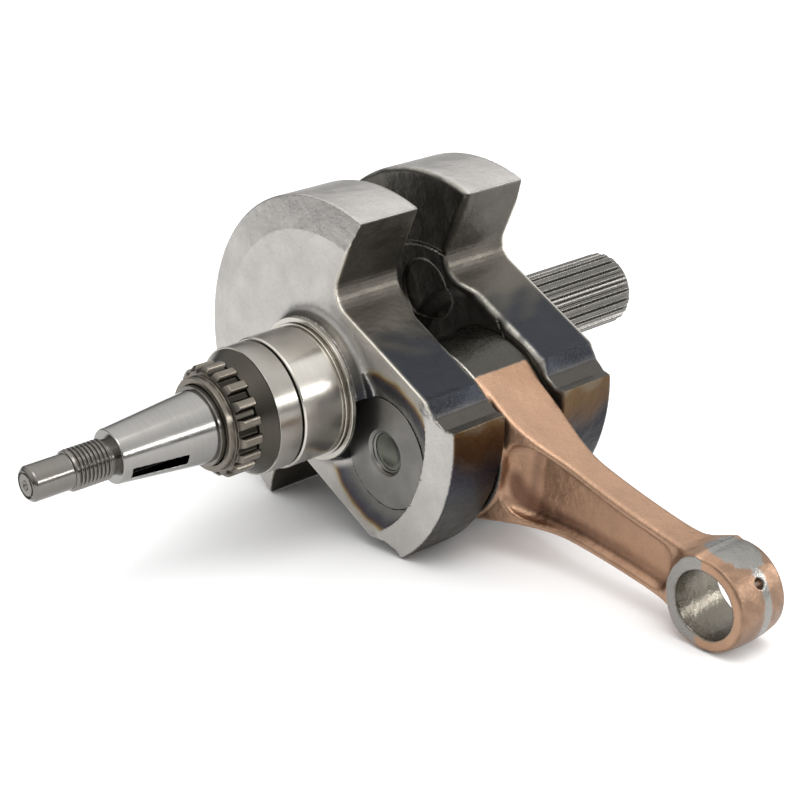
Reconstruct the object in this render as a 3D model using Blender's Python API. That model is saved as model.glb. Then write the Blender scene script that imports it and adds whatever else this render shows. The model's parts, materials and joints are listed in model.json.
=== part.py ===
"""Built-up crankshaft of a single-cylinder engine with its connecting rod.

Two crank halves are pressed onto a hollow crankpin.  The rod turns on the pin
in a caged needle bearing between two thrust washers.  The left shaft still
carries a bearing race, a seal collar and a toothed drive sprocket.

World frame: X is the crank axis, the tapered end points to -X, Z is up and
Z = 0 is the surface that the crankshaft lies on.  The crank rests on two
corners of each web and the small end of the rod rests on the same surface.

Crank frame: X is the crank axis, Y points to the crankpin, the origin is on
the axis midway between the webs.  All constants are in millimetres.
"""
import math

import bmesh
import bpy
from mathutils import Matrix, Vector

MM = 0.001

# Webs
THROW = 31.05
WEB_R = 57.5
WEB_OUTER = 33.5
WEB_INNER = 9.0
ARM_INNER = 12.3
ARM_POCKET_R = 36.5
CORNER_Y = -6.7
ARM_HALF = 29.1
WAIST_FILLET = 6.4
NOTCH = ((38.4, 29.1), (43.2, 26.4), (47.6, 25.9))
PIN_CORNER_Z = 27.2
BEVEL_R = 47.5
BEVEL_DEPTH = 2.0
RECESS_R = 24.3
RECESS_DEPTH = 1.5
HUB_R = 22.0
HUB_X = 37.4
HUB_FOOT_R = 26.0

# Crankpin and big-end bearing
PIN_R = 17.2
PIN_HALF = 32.2
PIN_BORE_R = 5.8
PIN_MOUTH_R = 6.8
PRESS_GAP = 0.08
PLUG_DEPTH = 1.7
PLUG_LENGTH = 6.0
ROLLERS = 16
ROLLER_R = 2.0
ROLLER_HALF = 8.0
BEARING_GAP = 0.1
CAGE_IN = 18.0
CAGE_OUT = 20.6
CAGE_HALF = 10.6
WASHER_IN = 17.5
WASHER_OUT = 25.6
WASHER_X = (11.15, 12.15)

# Connecting rod
ROD_LENGTH = 103.4
BIG_R = 26.9
BIG_HALF = 11.0
SMALL_R = 13.4
SMALL_CROWN = 0.6
SMALL_HALF = 8.8
SMALL_BORE_R = 9.8
BEAM_HALF_WIDTH = 9.0
BEAM_HALF_THICK = 5.4
BEAM_START = 10.6
BEAM_TANGENT_END = 26.0
BEAM_TANGENT_SLOPE = 0.445
BEAM_END = ROD_LENGTH - 7.5
BEAM_EDGE = 0.9
BEAM_STATIONS = 28
POCKET_FLOOR = 3.0
POCKET_RIM = 2.2
POCKET_START = 27.0
POCKET_END = 87.5
POCKET_NEAR_END = 12.0
POCKET_FAR_END = 3.5
POCKET_STEPS = 18
OIL_HOLE_R = 1.5

# Left shaft: nose, thread, taper, seats
NOSE_X = 133.8
NOSE_R = 5.16
THREAD_X = (121.2, 108.6)
THREAD_R = 6.0
THREAD_PITCH = 1.25
THREAD_DEPTH = 0.68
TAPER_X = (107.8, 78.0)
TAPER_R = (8.0, 11.0)
KEYWAY_X = (105.0, 87.5)
KEYWAY_WIDTH = 3.9
KEYWAY_FLOOR = 6.3
SPROCKET_SEAT_R = 12.0
RACE_SEAT_R = 15.0
SEAT_STEP_X = 67.1
SLEEVE_GAP = 0.1

# Sleeves on the left shaft
SPROCKET_X = (76.8, 67.2)
FLANGE_X = 74.5
FLANGE_R = 14.0
TOOTH_COUNT = 18
TOOTH_TIP_R = 16.8
TOOTH_ROOT_R = 14.9
COLLAR_X = (67.0, 54.9)
COLLAR_R = 19.35
COLLAR_NOSE_R = 15.8
COLLAR_NOSE = 4.1
RACE_X = (54.5, 37.7)
RACE_R = 20.0
RACE_LIP_R = 22.1
RACE_GROOVES = ((-41.0, -40.2, 0.7), (-39.7, -39.0, 0.3))
RACE_RIB_R = 20.6

# Right shaft
JOURNAL_R = 15.0
JOURNAL_X = 43.0
SPLINE_X = (45.0, 90.6)
SPLINE_COUNT = 22
SPLINE_TIP_R = 12.0
SPLINE_ROOT_R = 10.8

ROUND = 48
SHAFT_ROUND = 40
PLUG_ROUND = 24
RIM_ROUND = 96

# Small edge chamfers and the reach of a cutter that passes right through
EDGE = 0.3
BIG_EDGE = 1.2
SMALL_EDGE = 0.8
THROUGH = 100.0


# ---------------------------------------------------------------- placement

def rest_angle():
    """Angle of the crank about X that puts both web corners level."""
    corner_a = Vector((CORNER_Y, math.sqrt(WEB_R ** 2 - CORNER_Y ** 2)))
    corner_b = Vector((math.sqrt(WEB_R ** 2 - PIN_CORNER_Z ** 2), PIN_CORNER_Z))
    edge = corner_b - corner_a
    down = math.atan2(edge.x, -edge.y)
    height = corner_b.x * math.cos(down) + corner_b.y * math.sin(down)
    return -math.pi / 2 - down, height


THETA, AXIS_Z = rest_angle()
PIN_DY = THROW * math.cos(THETA)
PIN_Z = AXIS_Z + THROW * math.sin(THETA)
SMALL_OUTER = SMALL_R + SMALL_CROWN
ROD_DROP = math.asin((PIN_Z - SMALL_OUTER) / ROD_LENGTH)
ROD_THETA = math.pi + ROD_DROP
ROD_REACH = ROD_LENGTH * math.cos(ROD_DROP) + SMALL_OUTER - PIN_DY
AXIS_X = (NOSE_X - SPLINE_X[1]) / 2
AXIS_Y = (ROD_REACH - WEB_R) / 2


def crank_matrix():
    """Crank frame to world."""
    place = Matrix.Translation(Vector((AXIS_X, AXIS_Y, AXIS_Z)) * MM)
    return place @ Matrix.Rotation(THETA, 4, 'X')


def pin_matrix(angle):
    """A frame on the crankpin axis, turned about it to a world angle."""
    place = Matrix.Translation(Vector((AXIS_X, AXIS_Y + PIN_DY, PIN_Z)) * MM)
    return place @ Matrix.Rotation(angle, 4, 'X')


# ---------------------------------------------------------------- helpers

def material(name, color, roughness, metallic=1.0):
    mat = bpy.data.materials.new(name)
    mat.use_nodes = True
    shader = mat.node_tree.nodes["Principled BSDF"]
    shader.inputs["Base Color"].default_value = (*color, 1.0)
    shader.inputs["Roughness"].default_value = roughness
    shader.inputs["Metallic"].default_value = metallic
    return mat


def add_object(name, bm, matrix, mat=None):
    """Put a bmesh in millimetres into the scene as a smooth-shaded object."""
    bmesh.ops.recalc_face_normals(bm, faces=bm.faces)
    bmesh.ops.scale(bm, vec=(MM, MM, MM), verts=bm.verts)
    mesh = bpy.data.meshes.new(name)
    bm.to_mesh(mesh)
    bm.free()
    mesh.shade_smooth()
    mesh.set_sharp_from_angle(angle=math.radians(30))
    obj = bpy.data.objects.new(name, mesh)
    bpy.context.scene.collection.objects.link(obj)
    obj.matrix_world = matrix
    if mat is not None:
        mesh.materials.append(mat)
    return obj


def prism(outline, x0, x1):
    """Extrude a closed (y, z) outline along X."""
    bm = bmesh.new()
    base = bm.faces.new([bm.verts.new((x0, y, z)) for y, z in outline])
    grown = bmesh.ops.extrude_face_region(bm, geom=[base])
    top = [v for v in grown["geom"] if isinstance(v, bmesh.types.BMVert)]
    bmesh.ops.translate(bm, vec=(x1 - x0, 0, 0), verts=top)
    return bm


def turned(profile, steps=ROUND, center=(0.0, 0.0)):
    """Spin an (x, r) profile about an axis parallel to X.

    A profile that starts and ends on the axis gives a solid; one that doesn't
    is closed into a ring.
    """
    bm = bmesh.new()
    verts = [bm.verts.new((x, r, 0)) for x, r in profile]
    edges = [bm.edges.new(pair) for pair in zip(verts, verts[1:])]
    if profile[0][1] > 0:
        edges.append(bm.edges.new((verts[-1], verts[0])))
    bmesh.ops.spin(bm, geom=verts + edges, cent=(0, 0, 0), axis=(1, 0, 0),
                   angle=2 * math.pi, steps=steps, use_merge=True)
    bmesh.ops.remove_doubles(bm, verts=bm.verts, dist=1e-4)
    bmesh.ops.translate(bm, vec=(0, *center), verts=bm.verts)
    return bm


def bar_profile(radius):
    """Plain bar that cuts a bore right through."""
    return [(-THROUGH, 0), (-THROUGH, radius), (THROUGH, radius), (THROUGH, 0)]


def mirror_x(bm):
    bmesh.ops.scale(bm, vec=(-1, 1, 1), verts=bm.verts)
    bmesh.ops.reverse_faces(bm, faces=bm.faces)
    return bm


def work_object(bm):
    """A temporary object in millimetres for a Boolean."""
    bmesh.ops.recalc_face_normals(bm, faces=bm.faces)
    mesh = bpy.data.meshes.new("work")
    bm.to_mesh(mesh)
    bm.free()
    obj = bpy.data.objects.new("work", mesh)
    bpy.context.scene.collection.objects.link(obj)
    return obj


def combine(body, tool, operation):
    """Boolean of two bmeshes, worked out in millimetres; returns a new bmesh.

    The exact solver leaves open edges where the holes cross the coved hub, so
    the manifold solver, which keeps these solids closed, does all of them.
    """
    target = work_object(body)
    cutter = work_object(tool)
    modifier = target.modifiers.new("boolean", 'BOOLEAN')
    modifier.operation = operation
    modifier.solver = 'MANIFOLD'
    modifier.object = cutter
    bpy.context.view_layer.update()
    graph = bpy.context.evaluated_depsgraph_get()
    result = bmesh.new()
    result.from_mesh(target.evaluated_get(graph).to_mesh())
    bpy.data.objects.remove(cutter)
    bpy.data.objects.remove(target)
    return result


def arc(center, radius, start, end, count):
    """Points on a circle from one angle to another, both ends included."""
    angles = [start + (end - start) * i / count for i in range(count + 1)]
    return [(center[0] + radius * math.cos(a), center[1] + radius * math.sin(a))
            for a in angles]


# ---------------------------------------------------------------- crank halves

def web_outline():
    """Web seen along the axis: counterweight arc, waist, arm, pin-side arc."""
    corner = math.acos(CORNER_Y / WEB_R)
    waist = (CORNER_Y + WAIST_FILLET, ARM_HALF + WAIST_FILLET)
    pin_corner = math.asin(PIN_CORNER_Z / WEB_R)
    upper = arc((0, 0), WEB_R, math.pi, corner, 30)
    upper += arc(waist, WAIST_FILLET, math.pi, 1.5 * math.pi, 6)
    upper += list(NOTCH)
    upper += arc((0, 0), WEB_R, pin_corner, 0, 8)
    lower = [(y, -z) for y, z in reversed(upper[1:-1])]
    return upper + lower


def rim_limit():
    """Turned body that gives the web its conical outer face."""
    return turned([(-WEB_OUTER, 0), (-WEB_OUTER, BEVEL_R),
                   (-WEB_OUTER + BEVEL_DEPTH, WEB_R + 0.5), (0, WEB_R + 0.5), (0, 0)],
                  steps=RIM_ROUND)


def pin_dish():
    """Shallow dish round the pin end, kept between the hub and the rim."""
    floor = -WEB_OUTER + RECESS_DEPTH
    flat = PIN_R + 1.6
    dish = [(floor, 0), (floor, flat)]
    for i in range(1, 6):
        turn = i / 5 * math.pi / 2
        dish.append((floor - RECESS_DEPTH * (1 - math.cos(turn)),
                     flat + (RECESS_R - flat) * math.sin(turn)))
    dish += [(-WEB_OUTER - 6, RECESS_R), (-WEB_OUTER - 6, 0)]
    zone = turned([(-WEB_OUTER - 8, HUB_R + 1), (-WEB_OUTER - 8, BEVEL_R - 0.2),
                   (-5, BEVEL_R - 0.2), (-5, HUB_R + 1)])
    return combine(turned(dish, center=(THROW, 0)), zone, 'INTERSECT')


def pin_hole():
    """Through hole for the crankpin; it scallops the hub but stops at the seat."""
    hole = PIN_R + PRESS_GAP
    end = HUB_X + 0.15
    return turned([(-end, 0), (-end, hole), (0, hole), (0, 0)], center=(THROW, 0))


def hub_profile():
    """Cove from the web face up to the journal shoulder."""
    cove = HUB_X - WEB_OUTER
    points = [(-WEB_OUTER + 1, 0), (-WEB_OUTER + 1, HUB_FOOT_R)]
    for i in range(5):
        turn = i / 4 * math.pi / 2
        points.append((-WEB_OUTER - cove * (1 - math.cos(turn)) * 0.75,
                       HUB_FOOT_R - (HUB_FOOT_R - HUB_R) * math.sin(turn)))
    points.append((-HUB_X, HUB_R))
    return points


def left_shaft_profile():
    """Seats, taper, thread and nose, from the hub to the end."""
    points = [(-HUB_X, RACE_SEAT_R), (-SEAT_STEP_X, RACE_SEAT_R),
              (-SEAT_STEP_X, SPROCKET_SEAT_R), (-TAPER_X[1] - 0.4, SPROCKET_SEAT_R),
              (-TAPER_X[1] - 0.6, TAPER_R[1]), (-TAPER_X[0], TAPER_R[0]),
              (-TAPER_X[0], THREAD_R - THREAD_DEPTH)]
    x = THREAD_X[1]
    while x < THREAD_X[0] - THREAD_PITCH / 2:
        points += [(-x - THREAD_PITCH * 0.1, THREAD_R - THREAD_DEPTH),
                   (-x - THREAD_PITCH * 0.5, THREAD_R)]
        x += THREAD_PITCH
    points += [(-THREAD_X[0], THREAD_R - THREAD_DEPTH), (-THREAD_X[0] - 0.8, NOSE_R),
               (-NOSE_X + 1.2, NOSE_R), (-NOSE_X, NOSE_R - 1.4), (-NOSE_X, 1.3),
               (-NOSE_X + 2.2, 0)]
    return points


def keyway():
    """Slot along the taper, on the crankpin side."""
    half = KEYWAY_WIDTH / 2
    return prism([(KEYWAY_FLOOR, -half), (KEYWAY_FLOOR, half), (14, half), (14, -half)],
                 -KEYWAY_X[0], -KEYWAY_X[1])


def toothed_outline(count, root, tip, root_share, tip_share):
    """Straight-flanked teeth round a circle, one tooth centred on Y."""
    points = []
    pitch = 2 * math.pi / count
    for i in range(count):
        middle = i * pitch
        for radius, offset in ((root, -root_share), (tip, -tip_share),
                               (tip, tip_share), (root, root_share)):
            angle = middle + offset * pitch
            points.append((radius * math.cos(angle), radius * math.sin(angle)))
    return points


def web_plate():
    """Left-hand web: plate with its arm pocket and conical rim."""
    plate = prism(web_outline(), -WEB_OUTER - 1, -WEB_INNER)
    arm_pocket = turned([(-ARM_INNER, 0), (-ARM_INNER, ARM_POCKET_R),
                         (-WEB_INNER + 1, ARM_POCKET_R + 1.5), (-WEB_INNER + 1, 0)],
                        center=(THROW, 0))
    plate = combine(plate, arm_pocket, 'DIFFERENCE')
    return combine(plate, rim_limit(), 'INTERSECT')


def crank_half(shaft_profile):
    """Web and integral shaft, with the dish and the hole for the crankpin."""
    half = combine(web_plate(), turned(hub_profile() + shaft_profile, SHAFT_ROUND), 'UNION')
    half = combine(half, pin_dish(), 'DIFFERENCE')
    return combine(half, pin_hole(), 'DIFFERENCE')


def left_crank_half(mat):
    half = combine(crank_half(left_shaft_profile()), keyway(), 'DIFFERENCE')
    return add_object("left_crank_half", half, crank_matrix(), mat)


def splines():
    """Straight splines with a chamfered end and a run-out at the journal."""
    teeth = prism(toothed_outline(SPLINE_COUNT, SPLINE_ROOT_R, SPLINE_TIP_R, 0.36, 0.2),
                  -SPLINE_X[1] - 1, -SPLINE_X[0])
    limit = turned([(-SPLINE_X[1], 0), (-SPLINE_X[1], SPLINE_ROOT_R - 0.6),
                    (-SPLINE_X[1] + 1.8, SPLINE_TIP_R + 0.1),
                    (-SPLINE_X[0] - 2.5, SPLINE_TIP_R + 0.1),
                    (-SPLINE_X[0] + 1, SPLINE_ROOT_R - 1), (-SPLINE_X[0] + 1, 0)], steps=44)
    return combine(teeth, limit, 'INTERSECT')


def right_crank_half(mat):
    """Mirrored web with a plain journal and a splined drive end."""
    stub = [(-HUB_X, JOURNAL_R), (-JOURNAL_X, JOURNAL_R),
            (-JOURNAL_X - 1, SPLINE_ROOT_R - 0.3),
            (-SPLINE_X[1] + 3, SPLINE_ROOT_R - 0.3), (-SPLINE_X[1] + 3, 0)]
    half = combine(crank_half(stub), splines(), 'UNION')
    return add_object("right_crank_half", mirror_x(half), crank_matrix(), mat)


# ---------------------------------------------------------------- crankpin group

def crankpin(mat):
    ends = (PIN_MOUTH_R - PIN_BORE_R)
    profile = [(-PIN_HALF, PIN_MOUTH_R), (-PIN_HALF, PIN_R - 0.5), (-PIN_HALF + 0.5, PIN_R),
               (PIN_HALF - 0.5, PIN_R), (PIN_HALF, PIN_R - 0.5), (PIN_HALF, PIN_MOUTH_R),
               (PIN_HALF - ends, PIN_BORE_R), (-PIN_HALF + ends, PIN_BORE_R)]
    return add_object("crankpin", turned(profile), pin_matrix(THETA), mat)


def pin_plug(side, mat):
    """Pressed steel cup plug that closes one end of the pin's bore."""
    x = PIN_HALF - PLUG_DEPTH
    radius = PIN_BORE_R - PRESS_GAP
    bm = turned([(-x, 0), (-x, radius - 0.6), (-x + 0.6, radius),
                 (-x + PLUG_LENGTH, radius), (-x + PLUG_LENGTH, 0)], PLUG_ROUND)
    if side > 0:
        mirror_x(bm)
    name = "pin_plug_left" if side < 0 else "pin_plug_right"
    return add_object(name, bm, pin_matrix(THETA), mat)


def thrust_washer(side, mat):
    x0, x1 = WASHER_X
    bm = turned([(-x1, WASHER_IN), (-x1, WASHER_OUT), (-x0, WASHER_OUT), (-x0, WASHER_IN)],
                SHAFT_ROUND)
    if side > 0:
        mirror_x(bm)
    name = "thrust_washer_left" if side < 0 else "thrust_washer_right"
    return add_object(name, bm, pin_matrix(ROD_THETA), mat)


def big_end_cage(mat):
    """Ring with one window for each roller."""
    ring = turned([(-CAGE_HALF, CAGE_IN), (-CAGE_HALF, CAGE_OUT), (CAGE_HALF, CAGE_OUT),
                   (CAGE_HALF, CAGE_IN)], steps=2 * ROLLERS)
    windows = bmesh.new()
    half = ROLLER_R + 0.2
    for i in range(ROLLERS):
        cube = bmesh.ops.create_cube(windows, size=1.0)["verts"]
        bmesh.ops.scale(windows, vec=(2 * ROLLER_HALF + 0.6, 8.0, 2 * half), verts=cube)
        turn = Matrix.Rotation(roller_angle(i), 4, 'X')
        bmesh.ops.translate(windows, vec=(0, (CAGE_IN + CAGE_OUT) / 2, 0), verts=cube)
        bmesh.ops.transform(windows, matrix=turn, verts=cube)
    cage = combine(ring, windows, 'DIFFERENCE')
    return add_object("big_end_cage", cage, pin_matrix(ROD_THETA), mat)


def roller_angle(i):
    return 2 * math.pi * (i + 0.5) / ROLLERS


def big_end_rollers(mat):
    """Rollers sit on the pin's running circle, each with its own axis."""
    pitch = PIN_R + ROLLER_R + BEARING_GAP
    profile = [(-ROLLER_HALF, 0), (-ROLLER_HALF, ROLLER_R), (ROLLER_HALF, ROLLER_R),
               (ROLLER_HALF, 0)]
    for i in range(ROLLERS):
        angle = roller_angle(i)
        offset = Vector((0, math.cos(angle), math.sin(angle))) * pitch * MM
        matrix = pin_matrix(ROD_THETA) @ Matrix.Translation(offset)
        add_object("big_end_roller_%02d" % (i + 1), turned(profile, 12), matrix, mat)


# ---------------------------------------------------------------- connecting rod

def beam_half_width(u):
    """Half the beam's width at distance u from the pin axis.

    It leaves the big end along a tangent and then eases down to the shank.
    """
    past = u - BEAM_TANGENT_END
    flare = 8.8 - BEAM_TANGENT_SLOPE * past if past < 0 else 8.8 * math.exp(-past / 21.0)
    toward_small = 2.2 * math.exp((u - BEAM_END) / 5.0)
    return BEAM_HALF_WIDTH + flare + toward_small


def beam_half_thickness(u):
    """Half the beam's thickness along X at distance u from the pin axis."""
    t = min(max((u - 23.0) / 29.0, 0.0), 1.0)
    toward_big = 1 - t * t * (3 - 2 * t)
    toward_small = 1 / (1 + math.exp((ROD_LENGTH - 11.5 - u) / 1.6))
    return (BEAM_HALF_THICK + (BIG_HALF - 1.0 - BEAM_HALF_THICK) * toward_big
            + (SMALL_HALF - 0.6 - BEAM_HALF_THICK) * toward_small)


def beam():
    """Loft of eight-sided sections from the big end to the small end."""
    bm = bmesh.new()
    rings = []
    cut = BEAM_EDGE
    for i in range(BEAM_STATIONS + 1):
        u = BEAM_START + (BEAM_END - BEAM_START) * i / BEAM_STATIONS
        width = beam_half_width(u)
        thick = beam_half_thickness(u)
        section = [(-thick, width - cut), (-thick + cut, width), (thick - cut, width),
                   (thick, width - cut), (thick, cut - width), (thick - cut, -width),
                   (cut - thick, -width), (-thick, cut - width)]
        rings.append([bm.verts.new((x, u, v)) for x, v in section])
    bm.faces.new(rings[0])
    bm.faces.new(rings[-1])
    for a, b in zip(rings, rings[1:]):
        for j in range(8):
            k = (j + 1) % 8
            bm.faces.new((a[j], a[k], b[k], b[j]))
    return bm


def pocket(side):
    """Rounded triangular pocket that makes the beam an I section."""
    upper = []
    for i in range(POCKET_STEPS + 1):
        u = POCKET_START + (POCKET_END - POCKET_START) * i / POCKET_STEPS
        half = beam_half_width(u) - POCKET_RIM
        near = min((u - POCKET_START) / POCKET_NEAR_END, (POCKET_END - u) / POCKET_FAR_END, 1.0)
        upper.append((u, half * math.sqrt(1 - (1 - near) ** 2) if near < 1 else half))
    outline = upper + [(u, -v) for u, v in reversed(upper[1:-1])]
    return prism(outline, side * POCKET_FLOOR, side * (BIG_HALF + 2))


def small_end():
    face = SMALL_R - SMALL_EDGE
    profile = [(-SMALL_HALF, 0), (-SMALL_HALF, face)]
    for t in (-1, -0.5, 0, 0.5, 1):
        profile.append((t * (SMALL_HALF - SMALL_EDGE), SMALL_R + SMALL_CROWN * (1 - t * t)))
    profile += [(SMALL_HALF, face), (SMALL_HALF, 0)]
    return turned(profile, ROUND, center=(ROD_LENGTH, 0))


def connecting_rod(mat):
    rod = turned([(-BIG_HALF, 0), (-BIG_HALF, BIG_R - BIG_EDGE), (BIG_EDGE - BIG_HALF, BIG_R),
                  (BIG_HALF - BIG_EDGE, BIG_R), (BIG_HALF, BIG_R - BIG_EDGE), (BIG_HALF, 0)])
    rod = combine(rod, beam(), 'UNION')
    rod = combine(rod, small_end(), 'UNION')
    for side in (-1, 1):
        rod = combine(rod, pocket(side), 'DIFFERENCE')
    bore = PIN_R + 2 * ROLLER_R + 2 * BEARING_GAP
    rod = combine(rod, turned(bar_profile(bore)), 'DIFFERENCE')
    eye = turned(bar_profile(SMALL_BORE_R), SHAFT_ROUND, center=(ROD_LENGTH, 0))
    rod = combine(rod, eye, 'DIFFERENCE')
    rod = combine(rod, oil_hole(), 'DIFFERENCE')
    return add_object("connecting_rod", rod, pin_matrix(ROD_THETA), mat)


def oil_hole():
    """Drilled hole into the small-end bore, 45 degrees off the rod's tip."""
    bm = bmesh.new()
    bmesh.ops.create_cone(bm, cap_ends=True, segments=16, radius1=OIL_HOLE_R,
                          radius2=OIL_HOLE_R, depth=12.0)
    lean = Matrix.Rotation(math.radians(45), 4, 'X')
    bmesh.ops.transform(bm, matrix=lean, verts=bm.verts)
    out = (SMALL_BORE_R + 4.0) * math.sqrt(0.5)
    bmesh.ops.translate(bm, vec=(0, ROD_LENGTH + out, -out), verts=bm.verts)
    return bm


# ---------------------------------------------------------------- left shaft sleeves

def timing_sprocket(mat):
    """Oil pump and cam drive sprocket with a plain collar on its outer side."""
    x0, x1 = SPROCKET_X
    teeth = prism(toothed_outline(TOOTH_COUNT, TOOTH_ROOT_R, TOOTH_TIP_R, 0.3, 0.16),
                  -FLANGE_X - 1, -x1 + 1)
    blank = turned([(-FLANGE_X, 0), (-FLANGE_X, TOOTH_ROOT_R - 0.2),
                    (-FLANGE_X + 1.2, TOOTH_TIP_R + 0.1), (-x1, TOOTH_TIP_R + 0.1),
                    (-x1, 0)], 2 * TOOTH_COUNT)
    collar = turned([(-x0, 0), (-x0, FLANGE_R - EDGE), (-x0 + EDGE, FLANGE_R),
                     (-FLANGE_X + 0.5, FLANGE_R), (-FLANGE_X + 0.5, 0)],
                    SHAFT_ROUND)
    bore = SPROCKET_SEAT_R + SLEEVE_GAP
    gear = combine(teeth, blank, 'INTERSECT')
    gear = combine(gear, collar, 'UNION')
    gear = combine(gear, turned(bar_profile(bore), SHAFT_ROUND), 'DIFFERENCE')
    return add_object("timing_sprocket", gear, crank_matrix(), mat)


def seal_collar(mat):
    x0, x1 = COLLAR_X
    bore = RACE_SEAT_R + SLEEVE_GAP
    profile = [(-x0, bore), (-x0, COLLAR_NOSE_R), (-x0 + COLLAR_NOSE, COLLAR_R),
               (-x1 - EDGE, COLLAR_R), (-x1, COLLAR_R - EDGE), (-x1, bore)]
    return add_object("seal_collar", turned(profile, SHAFT_ROUND), crank_matrix(), mat)


def left_bearing_race(mat):
    """Inner ring of the main roller bearing, with its guide lip at the web."""
    x0, x1 = RACE_X
    bore = RACE_SEAT_R + SLEEVE_GAP
    profile = [(-x0, bore), (-x0, RACE_R - EDGE), (-x0 + EDGE, RACE_R)]
    shoulders = ((RACE_R, RACE_RIB_R), (RACE_RIB_R, RACE_LIP_R))
    for (start, end, depth), (before, after) in zip(RACE_GROOVES, shoulders):
        profile += [(start, before), (start + 0.2, RACE_R - depth), (end - 0.1, RACE_R - depth),
                    (end, after)]
    profile += [(-x1, RACE_LIP_R), (-x1, bore)]
    return add_object("left_bearing_race", turned(profile, SHAFT_ROUND), crank_matrix(), mat)


# ---------------------------------------------------------------- assembly

def main():
    for obj in list(bpy.data.objects):
        bpy.data.objects.remove(obj)
    forged = material("forged_steel", (0.28, 0.27, 0.26), 0.38)
    ground = material("ground_steel", (0.62, 0.61, 0.60), 0.18)
    copper = material("copper_plate", (0.62, 0.36, 0.24), 0.42)
    dark = material("dark_steel", (0.16, 0.15, 0.14), 0.40)
    brass = material("cage_brass", (0.66, 0.50, 0.26), 0.35)
    left_crank_half(forged)
    right_crank_half(forged)
    crankpin(ground)
    connecting_rod(copper)
    for side in (-1, 1):
        pin_plug(side, ground)
        thrust_washer(side, ground)
    big_end_cage(brass)
    big_end_rollers(ground)
    timing_sprocket(dark)
    seal_collar(ground)
    left_bearing_race(ground)


main()
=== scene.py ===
"""Looks of the built-up crankshaft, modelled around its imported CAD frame.

The visible forgings and turned pieces are signed distance fields and lathe
profiles in millimetres.  Crank pieces use the crank frame: X along the crank
axis, Y towards the crankpin, origin on the axis midway between the webs.  Rod
pieces use the rod frame: origin on the crankpin axis, Y towards the small end.
"""
import json
import math

import bmesh
import bpy
import numpy as np
from mathutils import Matrix, Vector


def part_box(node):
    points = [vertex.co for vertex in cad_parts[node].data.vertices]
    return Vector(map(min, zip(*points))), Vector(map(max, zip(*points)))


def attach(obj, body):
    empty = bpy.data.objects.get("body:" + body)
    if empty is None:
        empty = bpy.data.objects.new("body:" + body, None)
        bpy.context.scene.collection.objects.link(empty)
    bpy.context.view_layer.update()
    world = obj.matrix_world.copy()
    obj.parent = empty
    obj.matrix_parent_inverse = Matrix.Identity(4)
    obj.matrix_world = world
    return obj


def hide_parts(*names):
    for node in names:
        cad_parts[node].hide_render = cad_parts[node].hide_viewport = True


MM = 0.001

# Webs
WEB_R = 57.5
WEB_OUTER = 33.5
WEB_INNER = 9.0
ARM_INNER = 12.3
ARM_POCKET_R = 36.5
CORNER_Y = -6.7
ARM_HALF = 29.1
WAIST_FILLET = 6.4
NOTCH = ((38.4, 29.1), (43.2, 26.4), (47.6, 25.9))
PIN_CORNER_Z = 27.2
BEVEL_R = 47.5
BEVEL_SLOPE = 0.2
DISH_R = 24.3
DISH_DEPTH = 1.5
HUB_R = 22.0
HUB_X = 37.4
PIN_HOLE_R = 17.26
PIN_FACE = 32.2
ARM_STEP = 0.7
FACE_RING_R = 33.8
RELIEF_Y = -8.9
RELIEF_Z = 17.0
RELIEF_R = 10.0

# Rod
BIG_R = 26.9
BIG_HALF = 11.0
SMALL_R = 13.4
SMALL_CROWN = 0.6
SMALL_HALF = 8.8
SMALL_BORE_R = 9.8
BIG_BORE_R = 21.4
POCKET_FLOOR = 3.0
POCKET_RIM = 2.2
POCKET_START = 25.8
POCKET_END = 88.5
POCKET_SLOPE = 0.42
POCKET_SLOPE_END = 36.5
BEAM_START = 10.5
BEAM_TANGENT_END = 26.0
BEAM_TANGENT_HALF = 17.8
BEAM_TANGENT_SLOPE = 0.445
SHANK_HALF = 9.0
SHANK_FLARE = 8.8
SHANK_FLARE_LENGTH = 21.0
SHANK_THICKNESS = 5.4
BEAM_THICKENING = 4.6
OIL_R = 1.5

# Shaft ends
TAPER_X = (107.8, 78.0)
TAPER_R = (8.0, 11.0)
THREAD_X = (121.2, 108.6)
THREAD_R = 6.0
THREAD_PITCH = 1.25
NOSE_X = 133.8
NOSE_R = 5.16
TOOTH_COUNT = 18
SPROCKET_X = (74.5, 67.2)
SPROCKET_COLLAR_X = 76.8
SPROCKET_COLLAR_R = 14.0
SPROCKET_BORE_R = 12.1
TOOTH_ROOT_R = 14.9
TOOTH_TIP_R = 16.8
KEYWAY_X = (105.0, 87.5)
KEYWAY_HALF = 1.95
KEYWAY_FLOOR = 6.3
SPLINE_COUNT = 22
SPLINE_ROOT_R = 10.7
SPLINE_TIP_R = 12.0
SPLINE_START = 45.0
JOURNAL_R = 15.0
JOURNAL_X = 43.0
SPLINE_END = 90.6


# ------------------------------------------------------------------ the frame

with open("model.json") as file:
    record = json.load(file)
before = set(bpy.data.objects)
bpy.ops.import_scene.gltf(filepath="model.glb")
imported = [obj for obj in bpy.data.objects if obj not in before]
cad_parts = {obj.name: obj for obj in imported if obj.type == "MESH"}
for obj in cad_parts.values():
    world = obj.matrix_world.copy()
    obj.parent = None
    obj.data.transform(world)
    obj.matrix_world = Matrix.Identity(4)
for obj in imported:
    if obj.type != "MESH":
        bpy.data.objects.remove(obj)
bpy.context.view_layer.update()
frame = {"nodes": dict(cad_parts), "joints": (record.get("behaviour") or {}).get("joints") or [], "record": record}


def centre(node):
    low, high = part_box(node)
    return (low + high) / 2


def joint(name):
    return next(j for j in frame["joints"] if j["name"] == name)


def opening(name):
    spaces = frame["record"]["physics"]["openings"]
    low, high = next(s["box_m"] for s in spaces if s["name"] == name)
    return (Vector(low) + Vector(high)) / 2


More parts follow.
